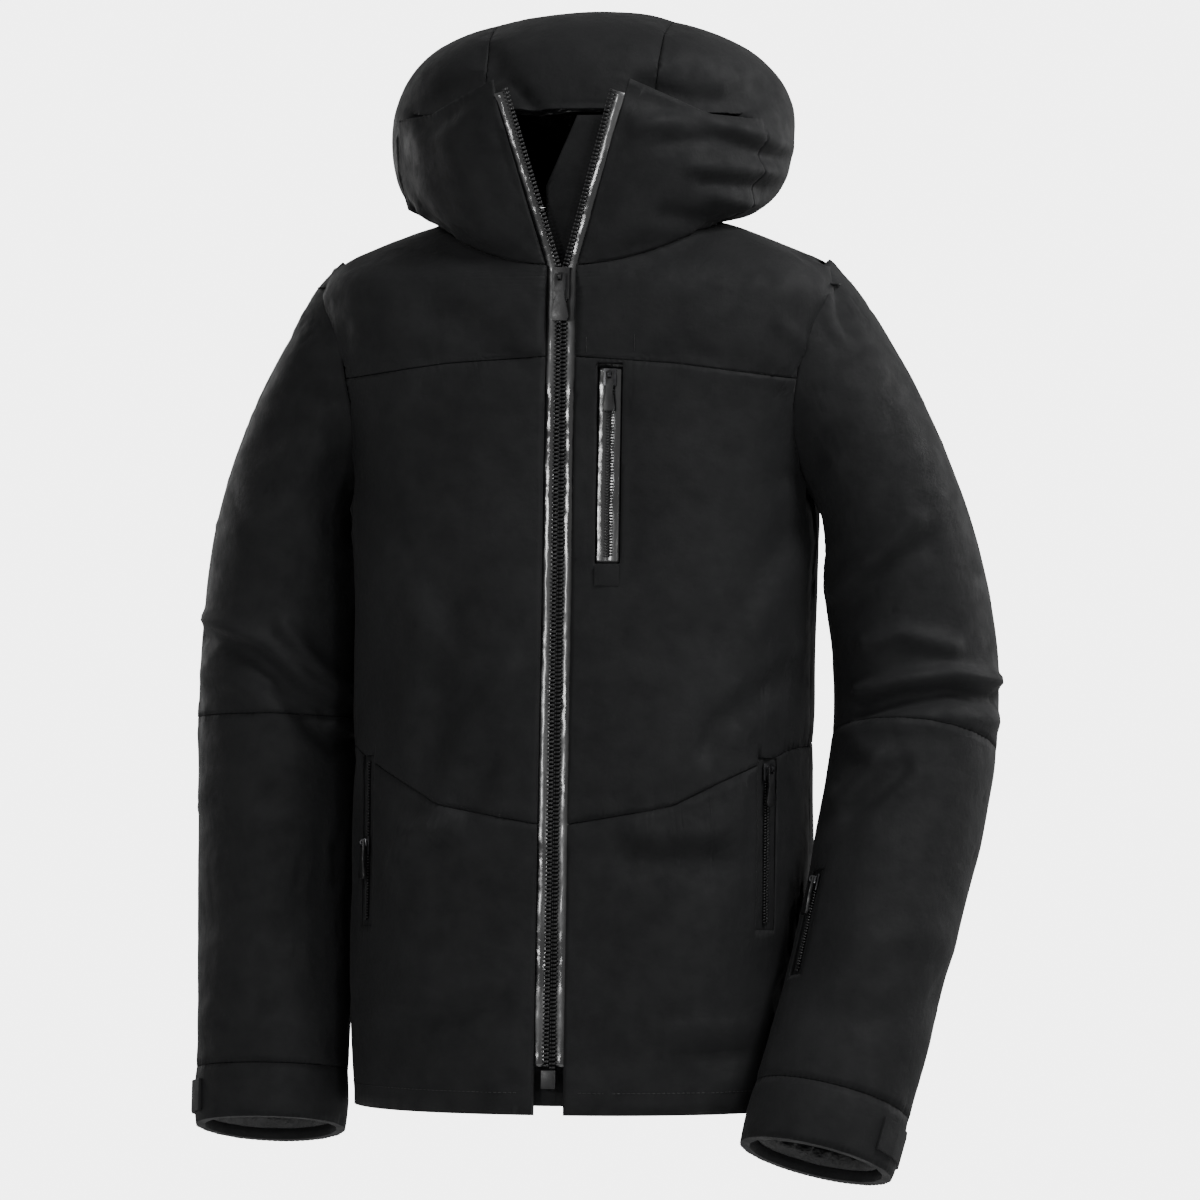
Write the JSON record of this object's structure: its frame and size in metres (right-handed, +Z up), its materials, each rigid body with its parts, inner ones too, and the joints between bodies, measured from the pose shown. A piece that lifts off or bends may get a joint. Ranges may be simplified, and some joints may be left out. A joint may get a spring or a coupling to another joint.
{
  "type": "ski jacket",
  "caption": "Insulated hooded ski jacket with a full-length front zip, chest, hand and forearm zip pockets, helmet-size hood and cuffs with tabs.",
  "frame": {"origin": "underside of the hang loop's flat top, where a hook carries the jacket", "axes": "+Z up along the body; the front faces -Y; the wearer's right arm is at -X"},
  "size_m": [0.6263, 0.3368, 0.8893],
  "materials": {
    "shell_cloth": "matte woven shell cloth over padding",
    "lining_cloth": "smooth taffeta lining with a soft sheen",
    "laminate": "woven tape with a glossy film face",
    "zip_plastic": "moulded plastic, satin",
    "slider_metal": "dark lacquered die-cast metal"
  },
  "bodies": {
    "jacket": {"back_lower": "shell_cloth", "back_panel": "shell_cloth", "back_yoke": "shell_cloth", "body_lining": "lining_cloth", "chest_pocket_bag": "lining_cloth", "chest_zip_garage": "laminate", "chest_zip_tape": "laminate", "chest_zip_teeth": "zip_plastic", "chin_left": "shell_cloth", "chin_right": "shell_cloth", "forearm_zip_tape": "laminate", "forearm_zip_teeth": "zip_plastic", "front_left_chest": "shell_cloth", "front_left_lower": "shell_cloth", "front_left_yoke": "shell_cloth", "front_right_chest": "shell_cloth", "front_right_lower": "shell_cloth", "front_right_yoke": "shell_cloth", "hand_pocket_bag_left": "lining_cloth", "hand_pocket_bag_right": "lining_cloth", "hand_zip_left_tape": "laminate", "hand_zip_left_teeth": "zip_plastic", "hand_zip_right_tape": "laminate", "hand_zip_right_teeth": "zip_plastic", "hang_loop": "lining_cloth", "hood_centre": "shell_cloth", "hood_left": "shell_cloth", "hood_lining": "lining_cloth", "hood_right": "shell_cloth", "main_zip_box": "zip_plastic", "main_zip_tape_left": "laminate", "main_zip_tape_right": "laminate", "main_zip_teeth_left": "zip_plastic", "main_zip_teeth_right": "zip_plastic", "sleeve_left_cuff": "shell_cloth", "sleeve_left_forearm": "shell_cloth", "sleeve_left_lining": "lining_cloth", "sleeve_left_upper": "shell_cloth", "sleeve_right_cuff": "shell_cloth", "sleeve_right_forearm": "shell_cloth", "sleeve_right_lining": "lining_cloth", "sleeve_right_upper": "shell_cloth", "storm_flap": "lining_cloth"},
    "main_slider": {"main_slider": "zip_plastic"},
    "main_puller": {"main_puller": "zip_plastic"},
    "chest_zip_slider": {"chest_zip_slider": "slider_metal"},
    "chest_zip_puller": {"chest_zip_puller": "zip_plastic"},
    "hand_zip_left_slider": {"hand_zip_left_slider": "slider_metal"},
    "hand_zip_left_puller": {"hand_zip_left_puller": "zip_plastic"},
    "hand_zip_right_slider": {"hand_zip_right_slider": "slider_metal"},
    "hand_zip_right_puller": {"hand_zip_right_puller": "zip_plastic"},
    "forearm_zip_slider": {"forearm_zip_slider": "slider_metal"},
    "forearm_zip_puller": {"forearm_zip_puller": "zip_plastic"},
    "cuff_tab_right": {"cuff_tab_right": "laminate"},
    "cuff_tab_left": {"cuff_tab_left": "laminate"}
  },
  "joints": [
    {"name": "main_zip_slide", "type": "slide", "parent": "jacket", "child": "main_slider", "axis": [0, -0.0854, -0.9964], "range_m": [0, 0.584]},
    {"name": "main_zip_puller_swing", "type": "hinge", "parent": "main_slider", "child": "main_puller", "pos_m": [0, -0.14498, -0.08], "axis": [-1, 0, 0], "range_deg": [0, 150]},
    {"name": "chest_zip_slide", "type": "slide", "parent": "jacket", "child": "chest_zip_slider", "axis": [0, -0.0836, -0.9965], "range_m": [0, 0.115]},
    {"name": "chest_zip_puller_swing", "type": "hinge", "parent": "chest_zip_slider", "child": "chest_zip_puller", "pos_m": [0.03914, -0.14997, -0.15442], "axis": [-0.997, -0.0776, 0.0065], "range_deg": [0, 150]},
    {"name": "hand_zip_left_slide", "type": "slide", "parent": "jacket", "child": "hand_zip_left_slider", "axis": [0, -0.0663, -0.9978], "range_m": [0, 0.106]},
    {"name": "hand_zip_left_puller_swing", "type": "hinge", "parent": "hand_zip_left_slider", "child": "hand_zip_left_puller", "pos_m": [0.15845, -0.12085, -0.45451], "axis": [-0.5963, -0.801, 0.0532], "range_deg": [0, 150]},
    {"name": "hand_zip_right_slide", "type": "slide", "parent": "jacket", "child": "hand_zip_right_slider", "axis": [0, -0.0663, -0.9978], "range_m": [-0.057, 0.048]},
    {"name": "hand_zip_right_puller_swing", "type": "hinge", "parent": "hand_zip_right_slider", "child": "hand_zip_right_puller", "pos_m": [-0.15845, -0.1247, -0.51238], "axis": [-0.5963, 0.801, -0.0532], "range_deg": [0, 150]},
    {"name": "forearm_zip_slide", "type": "slide", "parent": "jacket", "child": "forearm_zip_slider", "axis": [-0.1562, -0.3277, -0.9318], "range_m": [0, 0.06]},
    {"name": "forearm_zip_puller_swing", "type": "hinge", "parent": "forearm_zip_slider", "child": "forearm_zip_puller", "pos_m": [0.19085, -0.12787, -0.53716], "axis": [-0.5518, 0.8114, -0.1929], "range_deg": [0, 150]},
    {"name": "cuff_tab_right_peel", "type": "hinge", "parent": "jacket", "child": "cuff_tab_right", "pos_m": [-0.28665, -0.11511, -0.69548], "axis": [-0.0133, 0.1692, 0.9855], "range_deg": [0, 110]},
    {"name": "cuff_tab_left_peel", "type": "hinge", "parent": "jacket", "child": "cuff_tab_left", "pos_m": [0.25659, -0.13899, -0.73318], "axis": [0.2012, 0.3774, 0.9039], "range_deg": [0, 110]}
  ]
}
